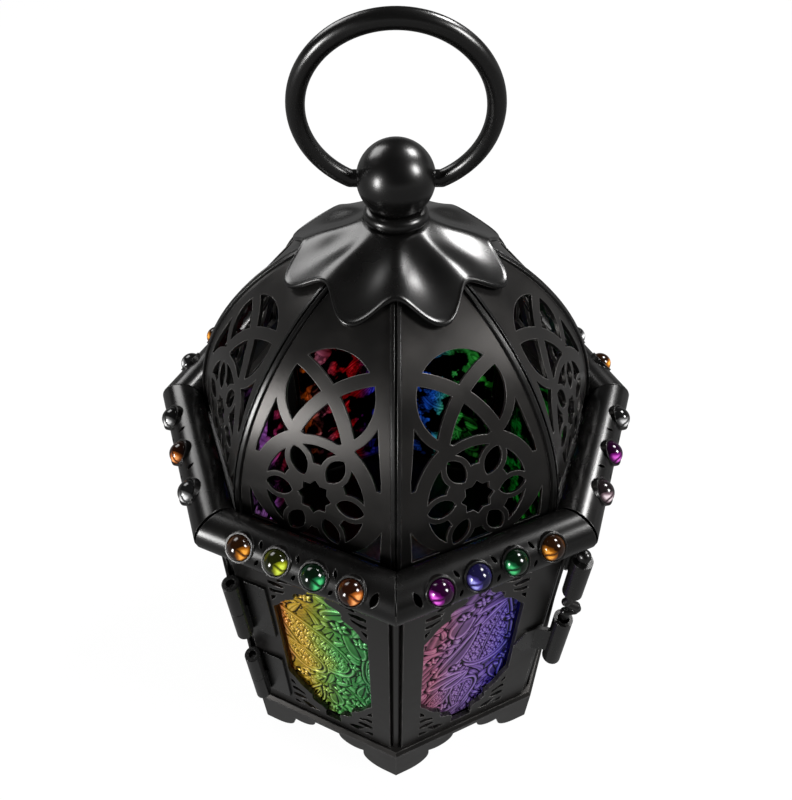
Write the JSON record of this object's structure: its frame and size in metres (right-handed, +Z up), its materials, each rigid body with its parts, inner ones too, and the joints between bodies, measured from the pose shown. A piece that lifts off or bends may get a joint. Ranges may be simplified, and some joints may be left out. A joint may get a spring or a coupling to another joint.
{
  "type": "ramadan fanous lantern",
  "caption": "Eight-sided black metal lantern with embossed coloured glass, a jewelled band, a pierced dome with a fluted cap and a ring handle, and a hinged door with a hook latch.",
  "frame": {"origin": "centre of the feet's soles, on the surface that the lantern stands on", "axes": "+Z up, -Y to the front corner between the door's two faces, +X to the latch's side"},
  "size_m": [0.1586, 0.1586, 0.2596],
  "materials": {
    "black_metal": "satin black coating with soft highlights",
    "pane_gold": "embossed glass, gold to green",
    "pane_violet": "embossed glass, pink to violet and blue",
    "pane_mixed": "embossed glass in red, orange, green, blue and purple",
    "bead_glass": "clear coloured glass beads over foil",
    "bright_steel": "plain steel"
  },
  "bodies": {
    "lantern": {"plinth_skirt": "black_metal", "plinth_top": "black_metal", "candle_cup": "bright_steel", "hinge_post": "black_metal", "latch_post": "black_metal", "rear_posts": "black_metal", "side_frame_1": "black_metal", "side_frame_2": "black_metal", "side_frame_3": "black_metal", "side_frame_4": "black_metal", "side_frame_5": "black_metal", "side_frame_6": "black_metal", "side_pane_1": "pane_mixed", "side_pane_2": "pane_mixed", "side_pane_3": "pane_mixed", "side_pane_4": "pane_mixed", "side_pane_5": "pane_mixed", "side_pane_6": "pane_mixed", "cornice": "black_metal", "band_tube_0": "black_metal", "band_tube_1": "black_metal", "band_tube_2": "black_metal", "band_tube_3": "black_metal", "band_tube_4": "black_metal", "band_tube_5": "black_metal", "band_tube_6": "black_metal", "band_tube_7": "black_metal", "beads_front": "bead_glass", "beads_right": "bead_glass", "beads_back": "bead_glass", "beads_left": "bead_glass", "dome_hem": "black_metal", "dome_panel_0": "black_metal", "dome_panel_1": "black_metal", "dome_panel_2": "black_metal", "dome_panel_3": "black_metal", "dome_panel_4": "black_metal", "dome_panel_5": "black_metal", "dome_panel_6": "black_metal", "dome_panel_7": "black_metal", "dome_ribs": "black_metal", "crown_plate": "black_metal", "cap": "black_metal", "collar": "black_metal", "ball": "black_metal", "stud": "bright_steel", "nut": "bright_steel", "hinge_leaves": "black_metal", "hinge_pins": "black_metal", "latch_bracket": "black_metal"},
    "door": {"door_frame_left": "black_metal", "door_frame_right": "black_metal", "door_post": "black_metal", "door_pane_left": "pane_gold", "door_pane_right": "pane_violet", "door_leaves": "black_metal", "latch_keeper": "black_metal"},
    "hook": {"latch_hook": "black_metal"},
    "ring": {"ring_handle": "black_metal"}
  },
  "joints": [
    {"name": "door_hinge", "type": "hinge", "parent": "lantern", "child": "door", "pos_m": [-0.05012, -0.05501, 0.075], "axis": [0, 0, -1], "range_deg": [0, 150]},
    {"name": "hook_swivel", "type": "hinge", "parent": "lantern", "child": "hook", "pos_m": [0.05446, -0.05446, 0.095], "axis": [0, 0, 1], "range_deg": [-150, 60]},
    {"name": "ring_tilt", "type": "hinge", "parent": "lantern", "child": "ring", "pos_m": [0, 0, 0.21471], "axis": [1, 0, 0], "range_deg": [-125, 95]}
  ]
}
